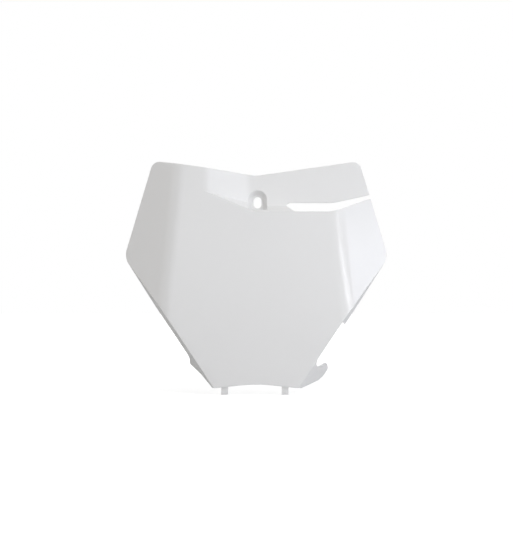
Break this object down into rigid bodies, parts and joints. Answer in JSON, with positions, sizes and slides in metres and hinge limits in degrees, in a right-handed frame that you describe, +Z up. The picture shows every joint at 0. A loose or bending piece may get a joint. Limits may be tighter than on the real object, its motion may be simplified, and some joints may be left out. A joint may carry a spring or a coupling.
{
  "type": "motorcycle front number board",
  "caption": "One-piece moulded front number board with bent-back wings, a stepped band with a hose slot, and an upright bolt slot.",
  "frame": {"origin": "middle of the upright bolt slot, on the back of the bolt pocket's floor, where the board seats on its bracket", "axes": "+Z up as mounted, the face looks along -Y, +X is to the right for someone facing the board"},
  "size_m": [0.2517, 0.0298, 0.2222],
  "materials": {
    "board_plastic": "moulded white polypropylene, glossy"
  },
  "bodies": {
    "root": {"number_board": "board_plastic"}
  },
  "joints": []
}
